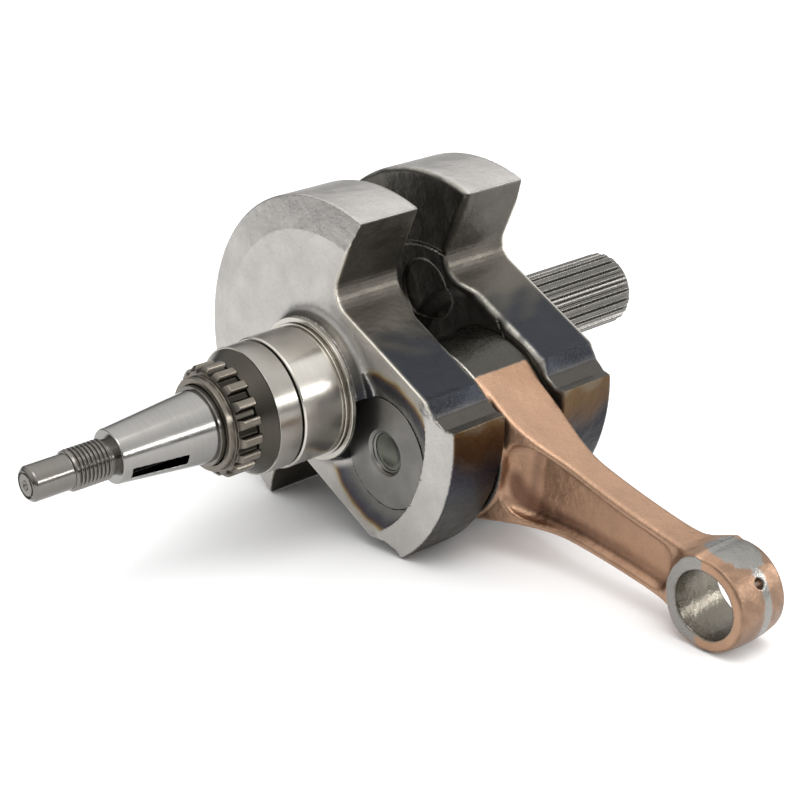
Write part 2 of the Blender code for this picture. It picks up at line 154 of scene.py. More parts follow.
AXIS = Vector((centre("crankpin").x, centre("seal_collar").y, centre("seal_collar").z))
PIN = Vector(joint("rod_swing")["pos_m"])
PIN.x = AXIS.x
EYE = opening("piston_pin_bore")
THROW = (PIN - AXIS).length / MM
ROD_LENGTH = (EYE - PIN).length / MM


def turned_to(origin, target):
    """Frame at origin whose Y axis points to target, turned about X only."""
    angle = math.atan2(target.z - origin.z, target.y - origin.y)
    return Matrix.Translation(origin) @ Matrix.Rotation(angle, 4, 'X')


CRANK = turned_to(AXIS, PIN)
PIN_FRAME = turned_to(PIN, PIN + (PIN - AXIS))
ROD = turned_to(PIN, EYE)


# ------------------------------------------------------------------ fields

def smax(a, b, k):
    """Larger of two fields, with the edge rounded over a width k."""
    h = np.clip(0.5 - 0.5 * (b - a) / k, 0, 1)
    return b * (1 - h) + a * h + k * h * (1 - h)


def smin(a, b, k):
    return -smax(-a, -b, k)


def ramp(value, start, end):
    """Smooth step from 0 at start to 1 at end."""
    t = np.clip((value - start) / (end - start), 0, 1)
    return t * t * (3 - 2 * t)


def arc(cy, cz, radius, start, end, count):
    angles = [start + (end - start) * i / count for i in range(count + 1)]
    return [(cy + radius * math.cos(a), cz + radius * math.sin(a)) for a in angles]


def web_outline():
    corner = math.acos(CORNER_Y / WEB_R)
    pin_corner = math.asin(PIN_CORNER_Z / WEB_R)
    upper = arc(0, 0, WEB_R, math.pi, corner, 60)
    upper += arc(CORNER_Y + WAIST_FILLET, ARM_HALF + WAIST_FILLET, WAIST_FILLET,
                 math.pi, 1.5 * math.pi, 8)
    upper += list(NOTCH)
    upper += arc(0, 0, WEB_R, pin_corner, 0, 16)
    return upper + [(y, -z) for y, z in reversed(upper[1:-1])]


def polygon_distance(y, z, points):
    """Signed distance in the plane to a closed outline, negative inside."""
    nearest = np.full(np.broadcast(y, z).shape, 1e9)
    inside = np.zeros(nearest.shape, bool)
    for (ay, az), (by, bz) in zip(points, points[1:] + points[:1]):
        ey, ez = by - ay, bz - az
        wy, wz = y - ay, z - az
        t = np.clip((wy * ey + wz * ez) / (ey * ey + ez * ez), 0, 1)
        nearest = np.minimum(nearest, (wy - ey * t) ** 2 + (wz - ez * t) ** 2)
        crosses = ((az > z) != (bz > z)) & (wy < ey * (z - az) / (bz - az + 1e-12))
        inside ^= crosses
    return np.where(inside, -1, 1) * np.sqrt(nearest)


OUTLINE = web_outline()


def web_field(x, y, z):
    """Left web with hub, dish and pin hole; the right web is its mirror image."""
    edge = polygon_distance(y, z, OUTLINE)
    rho = np.hypot(y, z)
    pin = np.hypot(y - THROW, z)
    outer = -(x + WEB_OUTER) + np.maximum(rho - BEVEL_R, 0) * BEVEL_SLOPE
    hub = smax(rho - HUB_R, -(x + HUB_X), 0.4)
    outer = smin(outer, hub, 5.0)
    face = -ARM_INNER + ARM_STEP * ramp(pin, 26.5, 28.0)
    face = face + (ARM_INNER - ARM_STEP - WEB_INNER) * ramp(pin, ARM_POCKET_R - 1, ARM_POCKET_R + 5)
    round_off = 2.2 + 1.4 * ramp(y, -4, 8) - 2.6 * ramp(y, 38, 44)
    body = smax(smax(edge, x - face, round_off), outer, 0.35)
    depth = DISH_DEPTH * (1 - ramp(pin, 18.0, DISH_R + 0.6))
    dish = smax(x + WEB_OUTER - depth, rho - BEVEL_R + 0.2, 0.2)
    dish = smax(smax(dish, HUB_R + 1.5 - rho, 1.0), pin - DISH_R - 0.5, 0.3)
    body = smax(body, -dish, 0.2)
    ring = smax(np.abs(rho - FACE_RING_R) - 0.5, face - 0.5 - x, 0.2)
    relief = smax(np.hypot(y - RELIEF_Y, np.abs(z) - RELIEF_Z) - RELIEF_R, face - 0.7 - x, 0.8)
    body = smax(body, -smin(ring, relief, 0.1), 0.4)
    hole = np.where(x < 0.1 - PIN_FACE, np.maximum(pin - PIN_HOLE_R, rho - BEVEL_R + 0.2),
                    pin - PIN_HOLE_R)
    return smax(body, -hole, 0.15)


def beam_width(u):
    """Half width: tangent to the big end at first, then easing to the shank."""
    past = u - BEAM_TANGENT_END
    straight = BEAM_TANGENT_HALF - BEAM_TANGENT_SLOPE * past
    shank = SHANK_HALF + SHANK_FLARE * np.exp(-np.maximum(past, -5.0) / SHANK_FLARE_LENGTH)
    small = 2.2 * np.exp(np.minimum(u - (ROD_LENGTH - 7.5), 2) / 5.0)
    return np.where(past < 0, straight, shank) + small


def beam_thickness(u):
    """Half thickness: full at the big end, thin in the middle, full at the small end."""
    big = 1 - ramp(u, 23.0, 52.0)
    small = 1 / (1 + np.exp((ROD_LENGTH - 11.5 - u) / 1.6))
    return SHANK_THICKNESS + BEAM_THICKENING * big + (SMALL_HALF - 6.0) * small


def rod_field(x, u, v):
    """Rod with both eyes, a pocket in each side and the oil hole."""
    side = np.abs(x)
    big = smax(np.hypot(u, v) - BIG_R, side - BIG_HALF, 1.2)
    width = beam_width(u)
    flank = np.abs(v) - width
    beam = smax(flank, side - beam_thickness(u), 1.6)
    beam = smax(beam, np.maximum(BEAM_START - u, u - ROD_LENGTH + 6.0), 1.0)
    pocket = smax(np.abs(v) - (width - POCKET_RIM), POCKET_START - u, 15.0)
    pocket = smax(pocket, u - POCKET_END, 6.0)
    floor = POCKET_FLOOR + POCKET_SLOPE * smax(POCKET_SLOPE_END - u, 0.0, 1.0)
    pocket = smax(pocket, floor - side, 3.4)
    beam = smax(beam, -pocket, 1.0)
    eye = np.hypot(u - ROD_LENGTH, v)
    small = smax(eye - SMALL_R - SMALL_CROWN * (1 - (x / 8.0) ** 2), side - SMALL_HALF, 1.0)
    rod = smin(smin(big, beam, 1.0), small, 3.0)
    rod = smax(rod, side - np.where(u > 60, SMALL_HALF, BIG_HALF), 0.3)
    rod = smax(rod, BIG_BORE_R - np.hypot(u, v), 0.5)
    rod = smax(rod, SMALL_BORE_R - eye, 0.6)
    return smax(rod, oil_hole(x, u, v), 0.5)


def oil_hole(x, u, v):
    """Negative outside the drilled hole, 45 degrees off the rod's tip."""
    across = ((u - ROD_LENGTH) + v) * math.sqrt(0.5)
    along = ((u - ROD_LENGTH) - v) * math.sqrt(0.5)
    return np.minimum(OIL_R - np.hypot(x, across), along)


def taper_radius(x):
    return TAPER_R[0] + (TAPER_R[1] - TAPER_R[0]) * ((x + TAPER_X[0]) / (TAPER_X[0] - TAPER_X[1]))


def taper_field(x, y, z):
    """Taper with its keyway."""
    taper = (np.hypot(y, z) - taper_radius(x)) * 0.995
    body = smax(taper, np.maximum(-TAPER_X[0] - x, x + TAPER_X[1]), 0.5)
    slot = smax(np.abs(z) - KEYWAY_HALF, KEYWAY_FLOOR - y, 0.4)
    slot = smax(slot, np.maximum(-KEYWAY_X[0] - x, x + KEYWAY_X[1]), 0.4)
    return smax(body, -slot, 0.2)


def nose_field(x, y, z):
    """Threaded stub and plain nose with its centre hole."""
    rho = np.hypot(y, z)
    turns = x / THREAD_PITCH + np.arctan2(z, y) / (2 * math.pi)
    groove = 0.36 * (1 + np.cos(2 * math.pi * turns))
    fade = ramp(x, -THREAD_X[0], -THREAD_X[0] + 1.5) * (1 - ramp(x, -110.4, -109.4))
    thread = rho - (THREAD_R - groove * fade - 0.75 * ramp(x, -109.8, -109.3))
    thread = smax(thread, np.maximum(-THREAD_X[0] - x, x + 106), 0.7)
    nose = smax(rho - NOSE_R, np.maximum(-NOSE_X - x, x + 110), 0.3)
    nose = smax(nose, (rho - x - NOSE_X - NOSE_R + 1.1) * 0.707, 0.3)
    body = smin(thread, nose, 0.2)
    drill = rho - np.minimum(1.5 - (NOSE_X + x) * 0.7, 3.0)
    ring = np.maximum(np.abs(rho - 3.5) - 0.3, NOSE_X + x - 0.7)
    return smax(body, -np.minimum(drill, ring), 0.15)


def teeth(y, z, count, root, tip, sharpness, share):
    """Radius of a toothed outline; share is the tooth's part of the pitch."""
    phase = np.cos(np.arctan2(z, y) * count)
    edge = math.cos(math.pi * share)
    return root + (tip - root) / (1 + np.exp(-(phase - edge) * sharpness))


def sprocket_field(x, y, z):
    """Toothed ring, chamfered in front, with its plain collar."""
    rho = np.hypot(y, z)
    outline = (rho - teeth(y, z, TOOTH_COUNT, TOOTH_ROOT_R, TOOTH_TIP_R, 6.0, 0.52)) * 0.6
    gear = smax(outline, np.maximum(-SPROCKET_X[0] - x, x + SPROCKET_X[1]), 0.3)
    gear = smax(gear, (rho - 15.3 - (x + SPROCKET_X[0]) * 1.1) * 0.67, 0.15)
    collar = smax(rho - SPROCKET_COLLAR_R, np.maximum(-SPROCKET_COLLAR_X - x, x + 74.0), 0.35)
    body = smin(gear, collar, 0.2)
    return smax(body, SPROCKET_BORE_R - rho, 0.4)


def spline_field(x, y, z):
    """Drive end, drawn on the left side and mirrored."""
    rho = np.hypot(y, z)
    tip = teeth(y, z, SPLINE_COUNT, SPLINE_ROOT_R, SPLINE_TIP_R, 5.0, 0.5)
    radius = np.where(x > -SPLINE_START, SPLINE_ROOT_R, tip)
    shaft = (rho - radius) * 0.7
    shaft = smax(shaft, np.maximum(-SPLINE_END - x, x + 40), 0.4)
    shaft = smax(shaft, (rho + (-SPLINE_END - x) * 0.9 - 10.4) * 0.74, 0.3)
    journal = smax(rho - JOURNAL_R, np.maximum(-JOURNAL_X - x, x + 36), 0.6)
    body = smin(shaft, journal, 0.4)
    drill = np.minimum(2.4 + (-SPLINE_END - x) * 0.8, 5.0) - rho
    return smax(body, drill, 0.2)


# ------------------------------------------------------------------ meshes

def gradient(field, p, eps):
    parts = []
    for axis in range(3):
        step = np.zeros(3)
        step[axis] = eps
        parts.append(field(*(p + step).T) - field(*(p - step).T))
    return np.stack(parts, 1) / (2 * eps)


def grid_cells(value):
    """Surface-net vertices (in grid units) and quads of the zero surface."""
    inside = value < 0
    shape = np.array(value.shape) - 1
    size = int(shape.prod())
    total = np.zeros((size, 3))
    count = np.zeros(size)
    edges = []
    for axis in range(3):
        lower = [slice(None)] * 3
        upper = [slice(None)] * 3
        lower[axis], upper[axis] = slice(0, -1), slice(1, None)
        flip = inside[tuple(lower)] != inside[tuple(upper)]
        at = np.argwhere(flip)
        v0 = value[tuple(lower)][flip]
        v1 = value[tuple(upper)][flip]
        spot = at.astype(float)
        spot[:, axis] += v0 / (v0 - v1)
        one, two = (axis + 1) % 3, (axis + 2) % 3
        ring = []
        for d1, d2 in ((1, 1), (0, 1), (0, 0), (1, 0)):
            cell = at.copy()
            cell[:, one] -= d1
            cell[:, two] -= d2
            ring.append(cell)
        ok = np.all([(c >= 0).all(1) & (c < shape).all(1) for c in ring], axis=0)
        ids = [np.ravel_multi_index(c[ok].T, shape) for c in ring]
        for cell_id in ids:
            for k in range(3):
                total[:, k] += np.bincount(cell_id, spot[ok][:, k], size)
            count += np.bincount(cell_id, minlength=size)
        quad = np.stack(ids, 1)
        backwards = ~inside[tuple(lower)][flip][ok]
        quad[backwards] = quad[backwards][:, ::-1]
        edges.append(quad)
    used = np.nonzero(count)[0]
    index = np.full(size, -1)
    index[used] = np.arange(len(used))
    return total[used] / count[used][:, None], index[np.concatenate(edges)]


def skin(field, low, high, step):
    """Vertices, quads and normals of a field's surface, in millimetres."""
    axes = [np.arange(a, b + step, step) for a, b in zip(low, high)]
    sparse = np.meshgrid(*axes, indexing="ij", sparse=True)
    shape = tuple(len(a) for a in axes)
    value = np.broadcast_to(field(*sparse), shape).astype(float)
    verts, quads = grid_cells(value)
    verts = verts * step + np.array(low)
    for _ in range(3):
        slope = gradient(field, verts, step * 0.05)
        square = np.maximum((slope ** 2).sum(1), 0.05)
        move = -(field(*verts.T) / square)[:, None] * slope
        length = np.maximum(np.linalg.norm(move, axis=1), 1e-9)
        verts += move * np.minimum(1, 0.5 * step / length)[:, None]
    slope = gradient(field, verts, step * 0.25)
    return verts, quads, slope / np.maximum(np.linalg.norm(slope, axis=1), 1e-9)[:, None]


def to_object(name, verts, faces, matrix, normals=None, mirrored=False):
    """Object whose mesh is in world metres, from local millimetres."""
    verts = np.array(verts, float)
    if mirrored:
        verts = verts * (-1, 1, 1)
        faces = [tuple(f)[::-1] for f in faces]
    rotation = np.array(matrix.to_3x3())
    world = verts * MM @ rotation.T + np.array(matrix.translation)
    mesh = bpy.data.meshes.new(name)
    mesh.from_pydata(world.tolist(), [], [list(map(int, f)) for f in faces])
    mesh.shade_smooth()
    if normals is not None:
        turned = normals * ((-1, 1, 1) if mirrored else (1, 1, 1)) @ rotation.T
        mesh.normals_split_custom_set_from_vertices(turned.tolist())
    obj = bpy.data.objects.new(name, mesh)
    bpy.context.scene.collection.objects.link(obj)
    return obj


LATHE_STEPS = 128


def lathe(name, profile, matrix, bevel=0.15):
    """Closed (x, r) profile spun about X; a point with r = 0 is on the axis."""
    verts, faces = [], []
    rings = []
    for x, r in profile:
        if r < 1e-6:
            rings.append([len(verts)] * LATHE_STEPS)
            verts.append((x, 0, 0))
            continue
        rings.append(list(range(len(verts), len(verts) + LATHE_STEPS)))
        for i in range(LATHE_STEPS):
            a = 2 * math.pi * i / LATHE_STEPS
            verts.append((x, r * math.cos(a), r * math.sin(a)))
    pairs = list(zip(rings, rings[1:]))
    if profile[0][1] > 0:
        pairs.append((rings[-1], rings[0]))
    for a, b in pairs:
        for i in range(LATHE_STEPS):
            k = (i + 1) % LATHE_STEPS
            quad = []
            for v in (a[i], b[i], b[k], a[k]):
                if v not in quad:
                    quad.append(v)
            if len(quad) > 2:
                faces.append(tuple(quad))
    obj = to_object(name, verts, faces, matrix)
    fix_normals(obj)
    obj.data.set_sharp_from_angle(angle=math.radians(25))
    if bevel:
        mod = obj.modifiers.new("edge", 'BEVEL')
        mod.width = bevel * MM
        mod.segments = 2
        mod.limit_method = 'ANGLE'
        mod.angle_limit = math.radians(25)
        mod.harden_normals = True
    return obj


def fix_normals(obj):
    bm = bmesh.new()
    bm.from_mesh(obj.data)
    bmesh.ops.recalc_face_normals(bm, faces=bm.faces)
    bm.to_mesh(obj.data)
    bm.free()


def paint(obj, colors, rough, grit):
    """Point colour, roughness and coarseness that the material reads."""
    data = obj.data.attributes.new("paint", 'FLOAT_COLOR', 'POINT')
    data.data.foreach_set("color", np.c_[colors, np.ones(len(colors))].ravel().astype(np.float32))
    for name, values in (("rough", rough), ("grit", grit)):
        data = obj.data.attributes.new(name, 'FLOAT', 'POINT')
        data.data.foreach_set("value", values.astype(np.float32))


# ------------------------------------------------------------------ materials

class Shader:
    """Small helper that adds and links nodes of one metal material."""

    def __init__(self, name):
        self.mat = bpy.data.materials.new(name)
        self.mat.use_nodes = True
        self.tree = self.mat.node_tree
        self.bsdf = self.tree.nodes["Principled BSDF"]
        self.point = self.add("ShaderNodeTexCoord").outputs["Object"]

    def add(self, kind, inputs=None, **settings):
        node = self.tree.nodes.new(kind)
        for key, value in settings.items():
            setattr(node, key, value)
        for key, value in (inputs or {}).items():
            socket = node.inputs[key]
            if isinstance(value, bpy.types.NodeSocket):
                self.tree.links.new(value, socket)
            else:
                socket.default_value = value
        return node

    def link(self, output, name):
        self.tree.links.new(output, self.bsdf.inputs[name])

    def noise(self, scale, detail=3.0, roughness=0.55, vector=None):
        node = self.add("ShaderNodeTexNoise", {"Scale": scale, "Detail": detail,
                                               "Roughness": roughness,
                                               "Vector": vector or self.point})
        return node.outputs["Fac"]

    def math(self, operation, a, b=0.0):
        node = self.add("ShaderNodeMath", {0: a, 1: b}, operation=operation)
        return node.outputs[0]

    def spread(self, value, low, high):
        """Map 0..1 noise to a range."""
        node = self.add("ShaderNodeMapRange", {"Value": value, "From Min": 0.25, "From Max": 0.75,
                                               "To Min": low, "To Max": high})
        return node.outputs["Result"]

    def mix(self, factor, a, b, blend='MIX'):
        node = self.add("ShaderNodeMix", data_type='RGBA', blend_type=blend)
        for socket, value in ((node.inputs[0], factor), (node.inputs[6], a), (node.inputs[7], b)):
            if isinstance(value, bpy.types.NodeSocket):
                self.tree.links.new(value, socket)
            else:
                socket.default_value = value
        return node.outputs[2]

    def grey(self, value):
        node = self.add("ShaderNodeCombineColor", {"Red": value, "Green": value, "Blue": value})
        return node.outputs["Color"]

    def attribute(self, name):
        return self.add("ShaderNodeAttribute", attribute_name=name)

    def bump(self, height, distance, normal=None):
        node = self.add("ShaderNodeBump", {"Height": height, "Distance": distance,
                                           "Strength": 1.0})
        if normal is not None:
            self.tree.links.new(normal, node.inputs["Normal"])
        return node.outputs["Normal"]


def rgb(r, g, b):
    """Linear colour of an sRGB triple from 0 to 255."""
    return np.array([((c / 255 + 0.055) / 1.055) ** 2.4 if c > 10 else c / 255 / 12.92
                     for c in (r, g, b)])


def painted_metal(name, grain, grain_height, uneven, mottle=0.12, metallic=0.9):
    """Metal whose colour and roughness come from the mesh, broken up by noise."""
    s = Shader(name)
    color = s.attribute("paint").outputs["Color"]
    blotch = s.spread(s.noise(90, 4.0), 1 - mottle, 1 + mottle)
    fine = s.spread(s.noise(1400, 2.0), 0.93, 1.07)
    color = s.mix(1.0, color, s.grey(s.math('MULTIPLY', blotch, fine)), 'MULTIPLY')
    s.link(color, "Base Color")
    rough = s.attribute("rough").outputs["Fac"]
    rough = s.math('ADD', rough, s.spread(s.noise(220, 3.0), -0.05, 0.07))
    s.link(rough, "Roughness")
    coarse = s.math('MULTIPLY', s.noise(700, 3.0, 0.7), s.attribute("grit").outputs["Fac"])
    normal = s.bump(s.noise(130, 2.0), uneven)
    normal = s.bump(s.noise(grain, 4.0, 0.6), grain_height, normal=normal)
    s.link(s.bump(coarse, 0.0012, normal=normal), "Normal")
    s.bsdf.inputs["Metallic"].default_value = metallic
    return s.mat


def turned_metal(name, color, roughness, lines=2600, mottle=0.05, painted=False):
    """Ground or turned metal: fine rings about the crank axis and faint stains."""
    s = Shader(name)
    centred = s.add("ShaderNodeVectorMath", {0: s.point, 1: tuple(-AXIS)}, operation='ADD')
    stretched = s.add("ShaderNodeMapping", {"Vector": centred.outputs[0],
                                            "Scale": (lines, 60.0, 60.0)})
    rings = s.noise(1.0, 2.0, 0.5, stretched.outputs[0])
    stain = s.spread(s.noise(70, 3.0), 1 - mottle, 1 + mottle)
    shade = s.math('MULTIPLY', stain, s.spread(rings, 0.96, 1.04))
    tint = s.mix(1.0, (*color, 1), s.grey(shade), 'MULTIPLY')
    if painted:
        tint = s.mix(1.0, tint, s.attribute("paint").outputs["Color"], 'MULTIPLY')
    s.link(tint, "Base Color")
    s.link(s.spread(s.noise(160, 3.0), roughness - 0.04, roughness + 0.05), "Roughness")
    s.link(s.bump(rings, 0.000004), "Normal")
    s.bsdf.inputs["Metallic"].default_value = 1.0
    return s.mat


STEEL = rgb(178, 175, 171)
OXIDE = rgb(74, 71, 65)
INNER = rgb(84, 81, 75)

RIM_HEAT = ((0.0, rgb(98, 86, 70)), (2.0, rgb(86, 66, 42)), (8.0, rgb(76, 56, 38)),
            (12.0, rgb(72, 62, 58)), (15.5, rgb(58, 57, 68)), (20.0, rgb(64, 68, 76)),
            (28.0, rgb(66, 67, 66)), (40.0, rgb(58, 55, 49)), (52.0, rgb(70, 60, 44)))
DISH_HEAT = ((0.0, rgb(172, 166, 154)), (0.7, rgb(158, 138, 100)), (1.6, rgb(104, 82, 60)),
             (2.8, rgb(64, 58, 66)), (4.6, rgb(76, 76, 80)), (9.0, rgb(108, 106, 102)))


def heat(s, stops):
    """Temper colours by distance in millimetres from the cool edge."""
    spots = np.array([stop[0] for stop in stops])
    table = np.array([stop[1] for stop in stops])
    return np.stack([np.interp(s, spots, table[:, k]) for k in range(3)], 1)


def blend_to(base, color, mask):
    return base * (1 - mask[:, None]) + np.asarray(color) * mask[:, None]


def wobble(p, size, seed):
    """Cheap smooth noise in -1..1 from a few fixed waves."""
    rng = np.random.default_rng(seed)
    total = np.zeros(len(p))
    for _ in range(6):
        k = rng.normal(size=3)
        k *= rng.uniform(0.5, 1.6) * 2 * math.pi / (size * np.linalg.norm(k))
        total += np.sin(p @ k + rng.uniform(0, 6.28))
    return total / 3


def paint_web(obj, p, n, depth):
    """Machined faces and rim, oxide on the forged walls, heat tint near the pin; painted shade on the bevel ring
    and the rim, painted highlight on the inner arm edges.
    """
    x, y, z = p.T
    rho = np.hypot(y, z)
    pin = np.hypot(y - THROW, z)
    noise = wobble(p, 9.0, 3)
    forged = np.tile(OXIDE, (len(p), 1))
    forged = blend_to(forged, rgb(92, 88, 81), ramp(y + 2 * noise, -14, 2) * (1 - ramp(y, 6, 20)))
    blue = ramp(y + 3 * noise, 6, 24) * (1 - ramp(y, 41, 46))
    forged = blend_to(forged, rgb(46, 48, 53), blue)
    forged = blend_to(forged, rgb(74, 71, 67), ramp(y, 42.5, 44))
    inner = ramp(x, -15.5, -12.8) * ramp(n[:, 0], 0.3, 0.8)
    forged = blend_to(forged, INNER, inner)
    rough = 0.38 - 0.06 * inner
    rim = ramp(rho, WEB_R - 0.5, WEB_R - 0.1)
    machined = np.maximum(ramp(-n[:, 0], 0.6, 0.9) * ramp(-x, 29, 31),
                          rim * ramp(-y, -CORNER_Y - 1, -CORNER_Y + 1))
    color = blend_to(forged, STEEL, machined)
    rough = rough * (1 - machined) + 0.34 * machined
    # Painted shade: the bevel ring on the outer face, on the counterweight side, is darkened by 8 percent.
    ring = ramp(rho, BEVEL_R - 0.3, BEVEL_R + 0.3) * ramp(-n[:, 0], 0.6, 0.9) * (1 - ramp(y, 0, 25))
    color = color * (1 - 0.08 * ring)[:, None]
    hot = rim * ramp(y, 35, 40)
    run = z + PIN_CORNER_Z + 1.6 * noise + 2.5 * ramp(-x, 26, 33.5)
    color = blend_to(color, heat(run, RIM_HEAT), hot)
    # Painted shade: the rim past the pin corner is darkened by depth, 0.3 on the left web and 0.85 on the right.
    color = color * (1 - depth * hot * ramp(run, 6, 18))[:, None]
    rough = rough * (1 - hot) + 0.30 * hot
    near = ramp(-n[:, 0], 0.3, 0.7) * ramp(-x, 29, 31) * ramp(rho, 24, 27)
    near = near * (pin < DISH_R + 2.4) * (rho < BEVEL_R - 0.1)
    color = blend_to(color, heat((DISH_R + 1.6 - pin) * 1.2 + 0.4 * noise, DISH_HEAT), near)
    edge = np.exp(-((polygon_distance(y, z, OUTLINE) / 0.5) ** 2) - ((x + WEB_OUTER) / 0.6) ** 2)
    color = blend_to(color, rgb(205, 200, 188), np.clip(edge * 1.4, 0, 1) * (rho < WEB_R - 0.6))
    # Painted highlight: patchy bright streaks along the rounded inner edges of the arms and the counterweight.
    wear_and_sheen = ramp(n[:, 0], 0.2, 0.45) * (1 - ramp(n[:, 0], 0.75, 0.92)) * (np.abs(z) > 24)
    wear_and_sheen = wear_and_sheen * np.maximum(ramp(y, 0, 6) * (1 - ramp(y, 43, 46)), 1 - ramp(y, -9, -7))
    color = blend_to(color, rgb(150, 147, 139), wear_and_sheen * ramp(noise, -1.2, 0.4) * 0.8)
    grit = np.exp(-((y - 40.0) / 2.2) ** 2) * ramp(np.abs(z), 25, 27) * ramp(-x, 13, 26)
    paint(obj, color, rough, grit)


def paint_rod(obj, p, n):
    """Copper plating with bare steel where the rod was ground; painted shade in the pockets and a painted
    highlight on the big end's edge.
    """
    x, u, v = p.T
    eye = np.hypot(u - ROD_LENGTH, v)
    big = np.hypot(u, v)
    noise = wobble(p, 5.0, 5) * 0.7 + wobble(p, 2.0, 6) * 0.4
    color = np.tile(rgb(170, 137, 113), (len(p), 1))
    color = blend_to(color, rgb(158, 124, 98), ramp(wobble(p, 30, 9), -0.2, 1.0) * 0.5)
    # Painted shade on the pocket floors, darkest at the deep end by the big end.
    hollow = ramp(-np.abs(x), -5.0, -3.4) * ramp(np.abs(n[:, 0]), 0.2, 0.8) * ramp(u, 25, 30)
    color = blend_to(color, rgb(156, 122, 98), hollow * 0.6)
    color = blend_to(color, rgb(112, 86, 74), hollow * (1 - ramp(u, 34, 37)) * 0.85)
    rim = smax(np.abs(v) - (beam_width(u) - POCKET_RIM), POCKET_START - u, 15.0)
    wall = ramp(-rim, 0.3, 1.5) * (1 - ramp(-rim, 3.0, 6.5)) * (1 - ramp(np.abs(x), 6.5, 8.5))
    # Painted shade on the pockets' lower walls.
    shaded_low_wall = wall * ramp(v, -3.0, 2.0) * (1 - 0.5 * ramp(u, 45, 80)) * (u < POCKET_END)
    color = blend_to(color, rgb(98, 68, 54), shaded_low_wall * 0.85)
    tip = ramp(eye, SMALL_R - 1.2, SMALL_R - 0.4) * ramp(u, ROD_LENGTH - 2, ROD_LENGTH + 3)
    color = blend_to(color, rgb(128, 104, 86), tip * (0.75 + 0.25 * ramp(wobble(p, 4, 19), -0.5, 0.5)))
    rough = np.full(len(p), 0.40)
    steel = 1 - ramp(eye, SMALL_BORE_R + 0.3, SMALL_BORE_R + 0.5)
    steel = np.maximum(steel, 1 - ramp(big, BIG_BORE_R + 0.3, BIG_BORE_R + 0.6))
    face = ramp(np.abs(x), SMALL_HALF - 0.25, SMALL_HALF - 0.1) * ramp(u, 60, 62)
    lean = (u - ROD_LENGTH) * 0.8 - v * 0.1 + 0.6 * noise
    steel = np.maximum(steel, face * (1 - ramp(lean, -1.6, -1.0)))
    steel = np.maximum(steel, ramp(np.abs(x), 10.35, 10.6))
    top = ramp(-v, SMALL_R * 0.45, SMALL_R * 0.6) * ramp(u, ROD_LENGTH - 15, ROD_LENGTH - 12)
    patch = np.hypot((x - 1.5) / 6.6, (u - ROD_LENGTH + 1.0) / 8.5) + 0.12 * noise
    steel = np.maximum(steel, top * (1 - ramp(patch, 0.95, 1.02)))
    band = (1 - ramp(np.abs(x - 1.0) + 0.3 * noise, 1.2, 1.7)) * ramp(u, ROD_LENGTH, ROD_LENGTH + 3)
    steel = np.maximum(steel, band * ramp(eye, SMALL_R - 0.5, SMALL_R))
    crown = 1 - ramp(u + 0.2 * noise - 0.25 * np.maximum(v, 0), 11.2, 11.8)
    steel = np.maximum(steel, crown)
    color = blend_to(color, rgb(136, 134, 130), steel)
    color = blend_to(color, rgb(116, 111, 101), 1 - ramp(eye, SMALL_BORE_R + 0.3, SMALL_BORE_R + 0.5))
    # The crown and the big end's side faces are painted dark grey.
    dark_big_end = np.maximum(crown, ramp(np.abs(x), 10.35, 10.6)) * (u < 40)
    color = blend_to(color, rgb(72, 70, 65), dark_big_end)
    # Painted highlight on the big end's outer edge chamfer.
    chamfer_highlight = ramp(np.abs(x), 10.2, 10.5) * (1 - ramp(np.abs(x), 10.85, 11.0)) * ramp(big, 26.0, 26.4)
    color = blend_to(color, rgb(176, 172, 162), chamfer_highlight * crown)
    rough = rough * (1 - steel) + 0.27 * steel
    grit = ramp(wobble(p, 14, 12), 0.2, 1.0) * 0.12
    paint(obj, color, rough, grit)


# ------------------------------------------------------------------ pieces

def place(obj, body, slot, material, *nodes):
    obj.data.materials.append(material)
    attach(obj, body)
    if nodes:
        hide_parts(*nodes)
    return obj


def make_webs():
    metal = painted_metal("forged_web", 900, 0.00010, 0.0004)
    verts, faces, normals = skin(web_field, (-39.0, -59.0, -58.6), (-7.5, 59.0, 58.6), 0.62)
    # depth sets how strongly painted shade darkens each web's rim past the pin corner.
    for side, mirrored, depth in (("left", False, 0.3), ("right", True, 0.85)):
        obj = to_object(side + "_web", verts, faces, CRANK, normals, mirrored)
        paint_web(obj, verts, normals, depth)
        place(obj, "crankshaft", "forged_steel", metal, side + "_crank_half")


